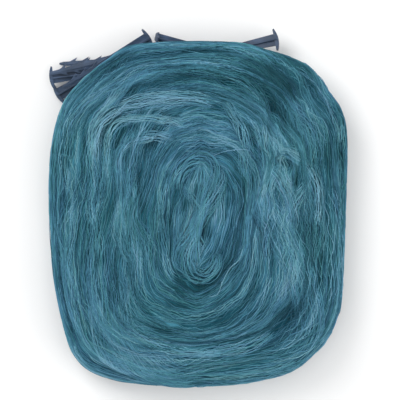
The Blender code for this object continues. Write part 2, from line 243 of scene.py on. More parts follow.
def sectionLine(width, part):  # from the slot over the rim to the floor and back under: turn, inward, height
    form = hankForm
    begin, end, taper = form["onPegs"]
    away = roundAway(part, 0.5 * (begin + end))
    propped = float(softStep((0.5 * (end - begin) + taper - away) / taper))
    swell = math.sin(2.0 * math.pi * form["crownSwells"] * part + form["crownPhase"])
    crown = form["crownHeight"] + form["crownSwell"] * swell
    waist = form["waistHeight"] + (form["waistOnPegs"] - form["waistHeight"]) * propped
    tuck = form["tuck"] + (form["tuckOnPegs"] - form["tuck"]) * propped
    faceSteps, underSteps, footSteps = form["sectionSteps"]
    faceIn = width * (1.0 - np.linspace(0.0, 1.0, faceSteps) ** 2)
    shoulder = 1.0 - np.clip(faceIn / form["shoulder"], 0.0, 1.0)
    power = form["shoulderPower"]
    faceUp = waist + (crown - waist) * (1.0 - shoulder ** power) ** (1.0 / power)
    fromSlot = 1.0 - np.clip((width - faceIn) / form["slotRound"], 0.0, 1.0)
    faceUp = faceUp - form["slotDepth"] * (1.0 - np.sqrt(1.0 - fromSlot ** 2))
    under = np.linspace(0.0, 0.5 * math.pi, underSteps)
    underIn = tuck * (1.0 - np.cos(under))
    underUp = waist * (1.0 - np.sin(under))
    footIn = np.linspace(tuck, width * form["footReach"], footSteps)
    lines = []
    for fromTurn, toTurn, inward, up in (
        (0.0, form["turnsOnFace"], faceIn, faceUp),
        (form["turnsOnFace"], form["turns"], underIn, underUp),
        (form["turns"], form["turnsAndFoot"], footIn, np.zeros_like(footIn)),
    ):
        travelled = np.concatenate([[0.0], np.cumsum(np.hypot(np.diff(inward), np.diff(up)))])
        turn = fromTurn + (toTurn - fromTurn) * travelled / travelled[-1]
        lines.append((turn, inward, up))
    return [np.concatenate(values) for values in zip(*lines)]


def hankSurface(grooveShare):  # grid of points and normals over the round and the turns
    form = hankForm
    columns = form["columns"]
    turns = np.linspace(0.0, form["turnsAndFoot"], int(form["turnsAndFoot"] * form["rowsInTurn"]) + 1)
    outer = evenLoop([(x * mm, y * mm) for x, y in hankOutline], columns)
    inner = slotLoop(columns)
    points = np.zeros((columns, len(turns), 3))
    sink = np.zeros((columns, len(turns)))
    for column in range(columns):
        part = column / columns
        parts = np.full(len(turns), part)
        toward = inner[column] - outer[column]
        width = float(np.linalg.norm(toward))
        toward = toward / width
        lineTurn, lineIn, lineUp = sectionLine(width, part)
        turn = wanderingTurn(turns, parts)
        inward = np.interp(turn, lineTurn, lineIn)
        height = np.interp(turn, lineTurn, lineUp)
        runIn = np.gradient(inward)
        runUp = np.gradient(height)
        run = np.maximum(np.hypot(runIn, runUp), 1e-9)
        depth = grooveSink(turns, parts) * np.where(turns > form["turns"], form["footGrooves"], grooveShare)
        ropes = crossingHeight(turn, parts)
        depth *= 1.0 - form["ropeFills"] * softStep(ropes / form["ropeFillsFrom"])
        fade = softStep(turn / form["slotFade"]) * softStep(np.abs(form["turns"] - turn) / form["floorFade"])
        rise = (ropes - depth) * fade
        inward = inward + runUp / run * rise
        height = np.maximum(height - runIn / run * rise, 0.0)
        points[column, :, :2] = outer[column] + toward * inward[:, None]
        points[column, :, 2] = height
        sink[column] = depth * fade
    alongRound = np.roll(points, -1, axis=0) - np.roll(points, 1, axis=0)
    alongTurns = np.gradient(points, axis=1)
    normals = unit(np.cross(alongRound, alongTurns))
    return {"points": points, "normals": normals, "sink": sink, "turns": turns}


def betweenCells(grid, column, row, soft=False):  # values of a grid that is closed around the round
    columns, rows = grid.shape[:2]
    column0 = np.floor(column).astype(int) % columns
    column1 = (column0 + 1) % columns
    row0 = np.clip(np.floor(row).astype(int), 0, rows - 2)
    shares = np.stack([column - np.floor(column), row - row0])
    if soft:
        shares = softStep(shares)
    shareColumn, shareRow = shares.reshape((2, -1) + (1,) * (grid.ndim - 2))
    low = grid[column0, row0] * (1.0 - shareColumn) + grid[column1, row0] * shareColumn
    high = grid[column0, row0 + 1] * (1.0 - shareColumn) + grid[column1, row0 + 1] * shareColumn
    return low * (1.0 - shareRow) + high * shareRow


def onSurface(surface, part, turn):  # points and normals at any places on the grid
    columns, rows = surface["points"].shape[:2]
    column = (part % 1.0) * columns
    row = np.clip(turn / surface["turns"][-1], 0.0, 1.0) * (rows - 1)
    points = betweenCells(surface["points"], column, row)
    return points, unit(betweenCells(surface["normals"], column, row))


print("hank: laying out its surface")
netSurface = hankSurface(1.0)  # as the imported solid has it
softSurface = hankSurface(hankForm["softGrooves"])
loopSteps = np.linalg.norm(np.roll(netSurface["points"], -1, axis=0) - netSurface["points"], axis=2)
loopLengths = loopSteps.sum(axis=0)
netLow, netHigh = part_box("net_hank")
plan = netSurface["points"][:, :, :2].reshape(-1, 2)
hankShift = np.array([  # from the outline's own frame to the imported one
    0.5 * (netLow.x + netHigh.x - plan[:, 0].min() - plan[:, 0].max()),
    0.5 * (netLow.y + netHigh.y - plan[:, 1].min() - plan[:, 1].max()),
    0.0,
])
for surface in (netSurface, softSurface):
    surface["points"] += hankShift


def loopLength(turn):  # once around the hank at that turn
    return float(np.interp(turn, netSurface["turns"], loopLengths))


def makeFaceFinder():  # the face and its shoulder from above, for what is laid by its place in the plan
    rows = int(hankForm["turnsFromAbove"] * hankForm["rowsInTurn"])
    points = netSurface["points"][:, :rows].reshape(-1, 3)
    normals = netSurface["normals"][:, :rows].reshape(-1, 3)
    tree = KDTree(len(points))
    for index, (x, y) in enumerate(points[:, :2]):
        tree.insert((x, y, 0.0), index)
    tree.balance()
    return tree, points, normals


def onFace(plan):  # points and normals of the face under places in the plan
    nearest = np.array([faceTree.find((x, y, 0.0))[1] for x, y in plan])
    normals = faceNormals[nearest]
    base = facePoints[nearest]
    upright = np.maximum(normals[:, 2], hankForm["leastUpright"])
    slope = -np.sum(normals[:, :2] * (plan - base[:, :2]), axis=1) / upright
    return np.column_stack([plan, base[:, 2] + slope]), normals


def smoothNoise(grid, part, turn):  # soft patches, closed around the round
    columns, rows = grid.shape
    row = np.clip(turn / hankForm["turnsAndFoot"], 0.0, 1.0) * (rows - 1.001)  # just short of the last row
    return betweenCells(grid, (part % 1.0) * columns, row, soft=True)


# Lie of the turns: how they sway, gather into ridges and sink in places
relief = {
    "sways": ((5, 9, 0.100), (13, 22, 0.036), (31, 45, 0.010)),  # columns and rows of the noise, turns
    "ridges": ((8, 36, 0.0017), (15, 78, 0.0011), (30, 150, 0.0006)),  # here metres
    "streaks": ((9, 24, 0.070), (20, 100, 0.080), (34, 270, 0.110)),  # and here tone
    "proud": 0.0008,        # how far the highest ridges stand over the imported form
    "calmTurns": 0.5,       # at the slot and at the floor, over which the sways and ridges grow
    "footShare": 0.3,       # of the sways and ridges, under the hank
    "paintedRidgeLight": 42.0,     # painted light: tone gained for each metre that a ridge stands out
    "ridgeMiddle": -0.0025,
    "paintedGrooveShade": 11.0,    # painted shade: tone lost for each metre that a groove is deep
    "grooveMiddle": 0.002,
    "furrowEnds": 0.15,     # share of a furrow's length in which it runs out
    "furrowReach": 1.5,     # half widths to where it starts
    "furrowSteps": 10,
    "leastUpright": 0.1,    # no furrow where the rim is steeper
    "softShare": 0.8,       # of furrows and ridges, in the surface for locks
    "toneReach": 1.5,       # half sizes to where a patch of painted light or shade starts
}

furrows = (  # line between two ropes in millimetres, half width, depth
    (((-166, 84), (-168, 124), (-160, 146), (-146, 160), (-120, 172), (-80, 184), (-20, 188)), 5, 0.0070),
    (((-150, 110), (-148, 130), (-134, 146), (-116, 153)), 5, 0.0080),
    (((-138, 90), (-136, 118), (-122, 138), (-98, 148), (-62, 147), (-20, 136)), 5, 0.0065),
    (((-122, 92), (-121, 108), (-112, 120), (-98, 124), (-80, 124)), 7, 0.0120),
    (((-112, 167), (-97, 163), (-76, 167)), 4, 0.0070),
    (((27, 188), (60, 195), (90, 183), (104, 163), (108, 130), (98, 100)), 6, 0.0070),
    (((32, 165), (44, 149), (61, 119), (65, 96)), 5, 0.0065),
    (((98, 224), (124, 206), (142, 186), (150, 160)), 11, 0.0100),
    (((-150, 190), (-112, 214), (-70, 226), (-20, 226)), 8, 0.0040),
    (((104, 82), (124, 76), (138, 65), (144, 50), (141, 34)), 6, 0.0125),
    (((168, 72), (184, 30), (186, -30), (178, -96), (160, -140)), 6, 0.0050),
    (((-186, 60), (-176, 0), (-182, -70), (-162, -140)), 6, 0.0050),
    (((-140, -128), (-96, -172), (-40, -190), (20, -192), (84, -178)), 6, 0.0055),
    (((-150, -184), (-90, -218), (-20, -226), (60, -224), (126, -200)), 6, 0.0045),
)


def noiseGrids(settings):
    return [(rng.normal(0.0, 1.0, (columns, rows)), amount) for columns, rows, amount in settings]


swayGrids = noiseGrids(relief["sways"])
ridgeGrids = noiseGrids(relief["ridges"])
streakGrids = noiseGrids(relief["streaks"])


def calmShare(turn):  # nothing sways at the slot and where the underside meets the floor
    fromFloor = np.abs(hankForm["turns"] - turn)
    calm = softStep(turn / relief["calmTurns"]) * softStep(fromFloor / relief["calmTurns"])
    return calm * np.where(turn > hankForm["turns"], relief["footShare"], 1.0)


def swayAt(part, turn):
    return calmShare(turn) * sum(amount * smoothNoise(grid, part, turn) for grid, amount in swayGrids)


def ridgeAt(part, turn):
    rise = sum(amount * (np.tanh(smoothNoise(grid, part, turn)) - 1.0) for grid, amount in ridgeGrids)
    return calmShare(turn) * (rise + relief["proud"])


def streaksWithPaintedLightAt(part, turn):  # lighter and darker twines run together, with painted light on the ridges and painted shade in the grooves
    streak = sum(amount * smoothNoise(grid, part, turn) for grid, amount in streakGrids)
    ridge = relief["paintedRidgeLight"] * (ridgeAt(part, turn) - relief["ridgeMiddle"])
    sink = smoothNoise(netSurface["sink"], part, turn)
    return streak + ridge - relief["paintedGrooveShade"] * (sink - relief["grooveMiddle"])


paintedLightPatches = (  # broad patches of painted light and shade: middle, half sizes in millimetres, change of tone
    (0, 226, 190, 44, -0.12), (84, 180, 74, 46, -0.03), (122, 196, 34, 26, -0.12), (-80, 150, 70, 34, 0.09),
    (160, 128, 30, 44, 0.10), (142, -20, 60, 110, 0.08), (20, 140, 50, 26, -0.03), (-160, 60, 50, 90, 0.05),
    (-150, -90, 60, 90, -0.03), (20, -190, 150, 50, -0.02),
)


def inPatch(points, x, y, halfX, halfY, reach):  # 1 in the middle of a patch of the face, 0 beyond its reach
    away = points[:, :2] / mm - (x, y) - hankShift[:2] / mm
    return softStep(reach - np.hypot(away[:, 0] / halfX, away[:, 1] / halfY))


# painted light and shade over broad patches of the face
def broadTone(points):
    change = np.zeros(len(points))
    for x, y, halfX, halfY, amount in paintedLightPatches:
        change += amount * inPatch(points, x, y, halfX, halfY, relief["toneReach"])
    return change


hueWaves = ((0.10, 19.0, 11.0, 1.0), (0.08, -17.0, 43.0, 4.0))  # amount, radians in a metre each way, phase


def broadHue(points):  # soft patches of greener and bluer net
    x, y = points[:, 0], points[:, 1]
    return sum(amount * np.sin(rateX * x + rateY * y + phase) for amount, rateX, rateY, phase in hueWaves)


def sinkFurrows(surface, share):
    onTop = surface["normals"][:, :, 2] > relief["leastUpright"]
    sink = np.zeros(onTop.shape)
    for path, halfWidth, depth in furrows:
        curve = smoothCurve(path, relief["furrowSteps"], False)
        away = surface["points"][onTop][:, None, :2] / mm - curve - hankShift[:2] / mm
        distance = np.linalg.norm(away, axis=2)
        nearest = np.argmin(distance, axis=1) / (len(curve) - 1)
        ends = softStep(np.minimum(nearest, 1.0 - nearest) / relief["furrowEnds"])
        inside = softStep(relief["furrowReach"] - np.min(distance, axis=1) / halfWidth)
        sink[onTop] = np.maximum(sink[onTop], depth * inside * ends)
    surface["points"] -= surface["normals"] * (sink * share)[:, :, None]
    surface["sink"] += sink


def relieve(surface, share):  # the same grid after its sways and ridges
    columns, rows = surface["points"].shape[:2]
    part = np.repeat(np.arange(columns) / columns, rows)
    turn = np.tile(surface["turns"], columns)
    points, normals = onSurface(surface, part, turn + swayAt(part, turn))
    points = points + normals * (ridgeAt(part, turn) * share)[:, None]
    points[:, 2] = np.maximum(points[:, 2], 0.0)
    relieved = {"points": points.reshape(columns, rows, 3), "normals": normals.reshape(columns, rows, 3)}
    return {**surface, **relieved}


sinkFurrows(netSurface, 1.0)
sinkFurrows(softSurface, relief["softShare"])
netSurface = relieve(netSurface, 1.0)
softSurface = relieve(softSurface, relief["softShare"])
faceTree, facePoints, faceNormals = makeFaceFinder()


# Shader nodes and materials

def newMaterial(name):
    material = bpy.data.materials.new(name)
    material.use_nodes = True
    tree = material.node_tree
    return material, tree, tree.nodes["Principled BSDF"]


def newNode(tree, kind, inputs):
    node = tree.nodes.new(kind)
    for name, value in inputs.items():
        if isinstance(value, bpy.types.NodeSocket):
            tree.links.new(value, node.inputs[name])
        else:
            node.inputs[name].default_value = value
    return node


def mathNode(tree, operation, first, second=0.0, kind="ShaderNodeMath"):
    node = newNode(tree, kind, {0: first, 1: second})
    node.operation = operation
    return node.outputs[0]


def centred(tree, value, amount):  # a value around one half, as a shift around nothing
    return mathNode(tree, "MULTIPLY", mathNode(tree, "SUBTRACT", value, 0.5), amount)


def addUp(tree, first, *others):
    for value in others:
        first = mathNode(tree, "ADD", first, value)
    return first


def noiseNode(tree, place, scale, detail):
    inputs = {"Vector": place, "Scale": scale, "Detail": detail}
    return newNode(tree, "ShaderNodeTexNoise", inputs).outputs["Fac"]


def streakNode(tree, place, cells, detail):  # noise with so many cells in a metre each way
    return noiseNode(tree, mathNode(tree, "MULTIPLY", place, cells, "ShaderNodeVectorMath"), 1.0, detail)


def softPatches(tree, place, size, detail, amount):  # lighter and darker ones
    return centred(tree, noiseNode(tree, place, size, detail), amount)


def colourRamp(tree, factor, stops):
    ramp = newNode(tree, "ShaderNodeValToRGB", {"Fac": factor})
    elements = ramp.color_ramp.elements
    elements.remove(elements[1])
    elements[0].position = stops[0][0]
    elements[0].color = (*stops[0][1], 1.0)
    for place, colour in stops[1:]:
        elements.new(place).color = (*colour, 1.0)
    return ramp.outputs["Color"]


def colourSocket(sockets, name):  # a Mix node has a socket of that name for each kind of value
    return next(socket for socket in sockets if socket.name == name and socket.type == "RGBA")


def objectPlace(tree):
    return tree.nodes.new("ShaderNodeTexCoord").outputs["Object"]


def twineMap(tree):  # the pieces' own map: along the twine and around or across it
    node = tree.nodes.new("ShaderNodeUVMap")
    node.uv_map = "twine"
    return node.outputs["UV"]


def attributeNode(tree, name):
    node = tree.nodes.new("ShaderNodeAttribute")
    node.attribute_name = name
    return node.outputs["Fac"]


def newGroup(name, inputs, outputs, effect):  # sockets by name and kind around an effect's nodes
    group = bpy.data.node_groups.new(name, "ShaderNodeTree")
    for way, sockets in (("INPUT", inputs), ("OUTPUT", outputs)):
        for socket, kind in sockets.items():
            group.interface.new_socket(name=socket, in_out=way, socket_type="NodeSocket" + kind)
    entry = group.nodes.new("NodeGroupInput").outputs
    leave = group.nodes.new("NodeGroupOutput").inputs
    for socket, value in zip(outputs, effect(group, *[entry[socket] for socket in inputs])):
        group.links.new(value, leave[socket])
    return group


def useGroup(tree, group, inputs):
    node = tree.nodes.new("ShaderNodeGroup")
    node.node_tree = group
    for name, value in inputs.items():
        tree.links.new(value, node.inputs[name])
    return node.outputs


def finishShader(tree, shader, look, colour, rough, height):
    inputs = {"Height": height, "Distance": look["bump"], "Strength": look["bumpStrength"]}
    bump = newNode(tree, "ShaderNodeBump", inputs).outputs["Normal"]
    for socket, value in (("Base Color", colour), ("Roughness", rough), ("Normal", bump)):
        tree.links.new(value, shader.inputs[socket])
    shader.inputs["Specular IOR Level"].default_value = look["specular"]


twineLook = {
    "lay": 0.0034,           # along the twine from one ply to the next
    "plies": 3.0,
    "plyShade": 0.16,
    "blotchSize": 22.0,
    "blotchShade": 0.45,
    "fibreSize": 900.0,
    "fibreHeight": 0.4,
    "roughness": 0.56,
    "roughnessSpread": 0.10,
    "specular": 0.20,
    "bump": 0.00025,
    "bumpStrength": 0.6,
    "hueMiddle": 0.54,       # between greener and bluer
    "hueSpread": 0.26,
    "greener": (
        (0.00, (0.011, 0.085, 0.104)),
        (0.30, (0.038, 0.190, 0.228)),
        (0.62, (0.094, 0.345, 0.402)),
        (1.00, (0.262, 0.560, 0.612)),
    ),
    "bluer": (
        (0.00, (0.014, 0.078, 0.127)),
        (0.30, (0.048, 0.172, 0.282)),
        (0.62, (0.105, 0.316, 0.488)),
        (1.00, (0.272, 0.524, 0.722)),
    ),
}

depthsLook = {
    "streaks": (14.0, 620.0, 1.0),   # cells of noise in a metre along and across the turns
    "crossing": (50.0, 380.0, 1.0),
    "crossingShare": 0.5,
    "blotchShade": 0.35,
    # painted shade: the packed twines in the depths lie darker than the laid ones
    "darker": -0.10,
    "roughness": 0.75,
    "roughnessSpread": 0.2,
    "specular": 0.06,
    "bump": 0.0016,
    "bumpStrength": 0.6,
}


def laidTwine(tree, along, place, tone):  # plies and fibres: along in metres, around from 0 to 1
    look = twineLook
    split = newNode(tree, "ShaderNodeSeparateXYZ", {"Vector": along}).outputs
    turnsAlong = mathNode(tree, "DIVIDE", split["X"], look["lay"])
    turnsAround = mathNode(tree, "MULTIPLY", split["Y"], look["plies"])
    plyPlace = mathNode(tree, "MULTIPLY", addUp(tree, turnsAlong, turnsAround), math.pi)
    ply = mathNode(tree, "ABSOLUTE", mathNode(tree, "SINE", plyPlace))
    blotches = softPatches(tree, place, look["blotchSize"], 2.0, look["blotchShade"])
    shade = addUp(tree, tone, blotches, centred(tree, ply, look["plyShade"]))
    fibre = noiseNode(tree, place, look["fibreSize"], 2.0)
    height = addUp(tree, ply, mathNode(tree, "MULTIPLY", fibre, look["fibreHeight"]))
    rough = mathNode(tree, "SUBTRACT", look["roughness"], centred(tree, height, look["roughnessSpread"]))
    return shade, height, rough


def packedTwines(tree, along, place, tone):  # the mass of twines between and under the modelled ones
    look = depthsLook
    streaks = streakNode(tree, along, look["streaks"], 3.0)
    crossing = streakNode(tree, along, look["crossing"], 2.0)
    strand = addUp(tree, streaks, centred(tree, crossing, look["crossingShare"]))
    blotches = softPatches(tree, place, twineLook["blotchSize"], 2.0, look["blotchShade"])
    # painted shade darkens the packed twines
    shade = addUp(tree, tone, centred(tree, strand, 1.0), blotches, look["darker"])
    rough = mathNode(tree, "SUBTRACT", look["roughness"], centred(tree, strand, look["roughnessSpread"]))
    return shade, strand, rough


def dyedColour(tree, shade, hue):  # from dark to pale, and from greener to bluer
    mix = tree.nodes.new("ShaderNodeMix")
    mix.data_type = "RGBA"
    tree.links.new(hue, mix.inputs["Factor"])
    for name, socket in (("greener", "A"), ("bluer", "B")):
        tree.links.new(colourRamp(tree, shade, twineLook[name]), colourSocket(mix.inputs, socket))
    return [colourSocket(mix.outputs, "Result")]


colourGroup = newGroup("dyedColour", {"Shade": "Float", "Hue": "Float"}, {"Colour": "Color"}, dyedColour)


def makeNetMaterial(name, groupName, effect, look):
    inputs = {"Twine": "Vector", "Place": "Vector", "Tone": "Float"}
    outputs = {"Shade": "Float", "Height": "Float", "Rough": "Float"}
    group = newGroup(groupName, inputs, outputs, effect)
    material, tree, shader = newMaterial(name)
    inputs = {"Twine": twineMap(tree), "Place": objectPlace(tree), "Tone": attributeNode(tree, "tone")}
    surface = useGroup(tree, group, inputs)
    inputs = {"Shade": surface["Shade"], "Hue": attributeNode(tree, "hue")}
    colour = useGroup(tree, colourGroup, inputs)["Colour"]
    finishShader(tree, shader, look, colour, surface["Rough"], surface["Height"])
    return material


twineMaterial = makeNetMaterial("netTwine", "laidTwine", laidTwine, twineLook)
depthsMaterial = makeNetMaterial("netDepths", "packedTwines", packedTwines, depthsLook)


# Twines as thin tubes

twine = {
    "radius": 0.00050,
    "sides": 3,
    "step": 0.0060,           # between two rings of a tube
    "leastRings": 10,
    "meshSide": 0.017,        # from knot to knot
    "meshSpread": (0.85, 1.1),
    "outOfStep": 0.03,        # of a mesh, between neighbours
    "zigzag": 0.0008,         # how far a pulled twine leaves its line between two knots
    "looseZigzag": 0.0023,    # and where the net has come loose
    "turnWidth": 0.048,       # of a turn on the face
    "standOff": 0.0006,       # most that a twine lifts where the rim is upright
    "standOffFace": 0.0040,   # and how much more on the face
    "restHeight": 0.0007,     # of the lowest twines above the floor
    "restSpread": 0.0012,
    "paleLift": 26.0,         # painted light: tone gained for each metre that a twine lifts, and painted shade lost where it dives
    "paleLiftMost": 0.003,
    "bakeRows": 300,          # the baked map lays the twines out in rows
    "bakeOverrun": 0.02,      # length of twine for which a row keeps room at its end
    "bakeMargin": 0.03,       # on both sides of a row, in rows
    "knotFree": 0.02,         # length without knots at a twine's ends
    "looseReach": 1.4,        # half sizes to where a loose spot starts
    "slotGap": 0.02,          # turns left free at the slot
    "floorGap": 0.05,         # and where the underside meets the floor
    "tones": (0.02, 1.0),     # darkest and palest
}

looseSpots = (  # middle, half sizes in millimetres, share
    (140, -8, 42, 72, 1.0), (140, -118, 44, 36, 0.7), (150, 150, 30, 34, 0.4), (-172, 30, 26, 90, 0.35),
    (-120, -120, 44, 40, 0.45), (20, -170, 60, 28, 0.35), (-84, 204, 84, 26, 0.75), (-150, 130, 30, 30, 0.4),
    (50, 222, 60, 22, 0.5),
)


def newStrands():
    return {"points": [], "normals": [], "tone": [], "hue": [], "along": []}


def addStrand(strands, points, normals, tone):
    steps = np.linalg.norm(np.diff(points, axis=0), axis=1)
    hue = rng.normal(twineLook["hueMiddle"], twineLook["hueSpread"]) + broadHue(points)
    strands["points"].append(points)
    strands["normals"].append(normals)
    strands["tone"].append(tone)
    strands["hue"].append(np.clip(hue, 0.0, 1.0))
    strands["along"].append(np.concatenate([[0.0], np.cumsum(steps)]))


def meshFrom(shape, name):
    mesh = bpy.data.meshes.new(name)
    shape.to_mesh(mesh)
    shape.free()
    return mesh


def addObject(name, data):
    item = bpy.data.objects.new(name, data)
    bpy.context.scene.collection.objects.link(item)
    return item


def finishPiece(name, mesh, material):
    mesh.materials.append(material)
    piece = addObject(name, mesh)
    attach(piece, "root")
    return piece


def meshFromArrays(name, vertices, faces):
    mesh = bpy.data.meshes.new(name)
    mesh.vertices.add(len(vertices))
    mesh.vertices.foreach_set("co", vertices.astype(np.float32).ravel())
    mesh.loops.add(faces.size)
    mesh.loops.foreach_set("vertex_index", faces.astype(np.int32).ravel())
    mesh.polygons.add(len(faces))
    mesh.polygons.foreach_set("loop_start", np.arange(0, faces.size, faces.shape[1], dtype=np.int32))
    mesh.update(calc_edges=True)
    return mesh


def setMap(mesh, name, corners):
    layer = mesh.uv_layers.new(name=name)
    layer.uv.foreach_set("vector", corners.astype(np.float32).ravel())


def setValues(mesh, name, values):
    layer = mesh.attributes.new(name, "FLOAT", "POINT")
    layer.data.foreach_set("value", values.astype(np.float32))


def faceCorners(low, high, left, right):  # the four corners of each face in a map
    return np.stack([
        np.stack([low, left], axis=1), np.stack([low, right], axis=1),
        np.stack([high, right], axis=1), np.stack([high, left], axis=1),
    ], axis=1)


def buildStrands(name, strands):  # every twine of a group, all in one mesh
    sides = twine["sides"]
    around = np.arange(sides)
    angle = 2.0 * math.pi * around / sides + 0.5 * math.pi
    total = sum(along[-1] for along in strands["along"])
    rowLength = total / (twine["bakeRows"] - 2)
    squeeze = 1.0 / (1.0 + twine["bakeOverrun"] / rowLength)
    margin = twine["bakeMargin"]
    made = {kind: [] for kind in ("vertices", "faces", "tone", "hue", "twine", "bake")}
    first = 0
    laid = 0.0
    for points, normals, tone, hue, along in zip(*strands.values()):
        gaps = len(points) - 1
        tangent = unit(np.gradient(points, axis=0))
        side = unit(np.cross(tangent, normals))
        up = np.cross(side, tangent)
        ring = side[:, None] * np.cos(angle)[None, :, None] + up[:, None] * np.sin(angle)[None, :, None]
        made["vertices"].append((points[:, None] + ring * twine["radius"]).reshape(-1, 3))
        made["tone"].append(np.repeat(tone, sides))
        made["hue"].append(np.repeat(hue, sides))
        rings = first + np.arange(gaps)[:, None] * sides
        here = rings + around
        beside = rings + (around + 1) % sides
        made["faces"].append(np.stack([here, beside, beside + sides, here + sides], axis=2).reshape(-1, 4))
        low = np.repeat(along[:-1], sides)
        high = np.repeat(along[1:], sides)
        left = np.tile(around / sides, gaps)
        right = left + 1.0 / sides
        made["twine"].append(faceCorners(low, high, left, right))
        row = np.floor((laid + low) / rowLength)
        begin = ((laid + low) / rowLength - row) * squeeze
        end = begin + (high - low) / rowLength * squeeze
        bottom = (row + left * (1.0 - 2.0 * margin) + margin) / twine["bakeRows"]
        top = (row + right * (1.0 - 2.0 * margin) + margin) / twine["bakeRows"]
        made["bake"].append(faceCorners(begin, end, bottom, top))
        laid += along[-1]
        first += len(points) * sides
    made = {kind: np.concatenate(arrays) for kind, arrays in made.items()}
    mesh = meshFromArrays(name, made["vertices"], made["faces"])
    setMap(mesh, "twine", made["twine"])
    setMap(mesh, "OFBake", made["bake"])
    setValues(mesh, "tone", made["tone"])
    setValues(mesh, "hue", made["hue"])
    mesh.shade_smooth()
    finishPiece(name, mesh, twineMaterial)
    print(f"{name}: {len(strands['points'])} twines, {total:.0f} m, {2 * len(mesh.polygons)} triangles")


def pieceAt(pieces, turn):
    return next(name for name, lastTurn in pieces.items() if turn < lastTurn)


def looseShare(points):
    share = np.zeros(len(points))
    for x, y, halfX, halfY, most in looseSpots:
        share = np.maximum(share, most * inPatch(points, x, y, halfX, halfY, twine["looseReach"]))
    return share


def twineSteps(length):  # distances along a twine
    return np.linspace(0.0, length, max(twine["leastRings"], int(length / twine["step"])))


def endShare(distance, reach):  # 0 at both ends, 1 from the reach inwards
    return softStep(np.minimum(distance, distance[-1] - distance) / reach)


def waves(distance, *terms):  # sine waves with random phases: amplitude, shortest and longest wave
    height = 0.0
    for amplitude, shortest, longest in terms:
        length = rng.uniform(shortest, longest)
        phase = rng.uniform(0.0, 2.0 * math.pi)
        height = height + amplitude * np.sin(2.0 * math.pi * distance / length + phase)
    return height


def meshLength():  # along the rope, over two sides of a mesh
    return 2.0 * twine["meshSide"] * rng.uniform(*twine["meshSpread"])


def zigzag(meshes, loose, parity):  # straight from knot to knot, in step with the twines beside it
    place = meshes + 0.5 * parity + rng.normal(0.0, twine["outOfStep"])
    swing = 4.0 * np.abs((place % 1.0) - 0.5) - 1.0
    return swing * (twine["zigzag"] + (twine["looseZigzag"] - twine["zigzag"]) * loose)


knots = {"centre": [], "tangent": [], "normal": [], "tone": [], "hue": []}


def tieKnots(strands, offset):  # along the twine laid last, the first one shifted by so many mesh sides
    points = strands["points"][-1]
    along = strands["along"][-1]
    first = twine["meshSide"] * (0.5 + offset)
    places = np.arange(first, along[-1] - twine["knotFree"], 2.0 * twine["meshSide"])
    places = places[places > twine["knotFree"]]
    if len(places) == 0:
        return
    index = np.clip(np.searchsorted(along, places), 1, len(along) - 1)
    share = ((places - along[index - 1]) / (along[index] - along[index - 1]))[:, None]
    knots["centre"].append(points[index - 1] * (1.0 - share) + points[index] * share)
    knots["tangent"].append(points[index] - points[index - 1])
    knots["normal"].append(strands["normals"][-1][index])
    knots["tone"].append(strands["tone"][-1][index])
    knots["hue"].append(strands["hue"][-1][index])


def layTwine(strands, surface, part, turn, lift, tone):
    points, normals = onSurface(surface, part, turn)
    lift = np.minimum(lift, twine["standOff"] + twine["standOffFace"] * np.clip(normals[:, 2], 0.0, 1.0))
    points = points + normals * lift[:, None]
    points[:, 2] = np.maximum(points[:, 2], twine["restHeight"] + twine["restSpread"] * tone)
    # painted light where a twine lifts, painted shade where it dives under the others
    pale = twine["paleLift"] * np.clip(lift, -twine["paleLiftMost"], twine["paleLiftMost"])
    shade = tone + streaksWithPaintedLightAt(part, turn) + broadTone(points) + pale
    addStrand(strands, points, normals, np.clip(shade, *twine["tones"]))


turnTwines = {
    "perTurn": 58,
    "perHiddenTurn": 28,     # under the widest line
    "perFootTurn": 12,
    "hiddenFrom": 0.9,       # turns past the widest line
    "inStep": 9,             # neighbours whose meshes lie side by side
    "rounds": 1.03,          # that a twine runs
    "lift": -0.0002,
    "dive": 0.002,           # of its ends
    "diveLength": 0.02,
    "meander": ((0.0008, 0.12, 0.24), (0.00032, 0.05, 0.09)),  # amplitude, shortest and longest wave
    "liftWave": (0.0007, 0.05, 0.14),
    "tone": (0.10, 0.66),
    "pieces": {              # and the turn up to which each goes
        "netInnerTurns": 2.4, "netMiddleTurns": 3.7, "netOuterTurns": 5.0, "netRimTurns": 7.0,
        "netFootTurns": 9.5,
    },
}


def layTurnTwines():
    settings = turnTwines
    groups = {name: newStrands() for name in settings["pieces"]}
    hiddenFrom = hankForm["turnsOnFace"] + settings["hiddenFrom"]
    stretches = (
        (twine["slotGap"], hiddenFrom, settings["perTurn"]),
        (hiddenFrom, hankForm["turns"], settings["perHiddenTurn"]),
        (hankForm["turns"] + twine["floorGap"], hankForm["turnsAndFoot"], settings["perFootTurn"]),
    )
    starts = np.concatenate([np.arange(low, high, 1.0 / perTurn) for low, high, perTurn in stretches])
    for index, turn0 in enumerate(starts):
        around = loopLength(turn0)
        distance = twineSteps(around * settings["rounds"])
        part = rng.uniform() + distance / around
        points, normals = onSurface(netSurface, part, np.full_like(part, turn0))
        if index % settings["inStep"] == 0:
            meshesAround = around / meshLength()
        sideways = zigzag(part * meshesAround, looseShare(points), index % 2)
        sideways = sideways + waves(distance, *settings["meander"])
        turn = np.clip(turn0 + sideways / twine["turnWidth"], 0.0, hankForm["turnsAndFoot"])
        lift = settings["lift"] - settings["dive"] * (1.0 - endShare(distance, settings["diveLength"]))
        lift = lift + waves(distance, settings["liftWave"])
        strands = groups[pieceAt(settings["pieces"], turn0)]
        layTwine(strands, netSurface, part, turn, lift, rng.uniform(*settings["tone"]))
    for name, strands in groups.items():
        buildStrands(name, strands)


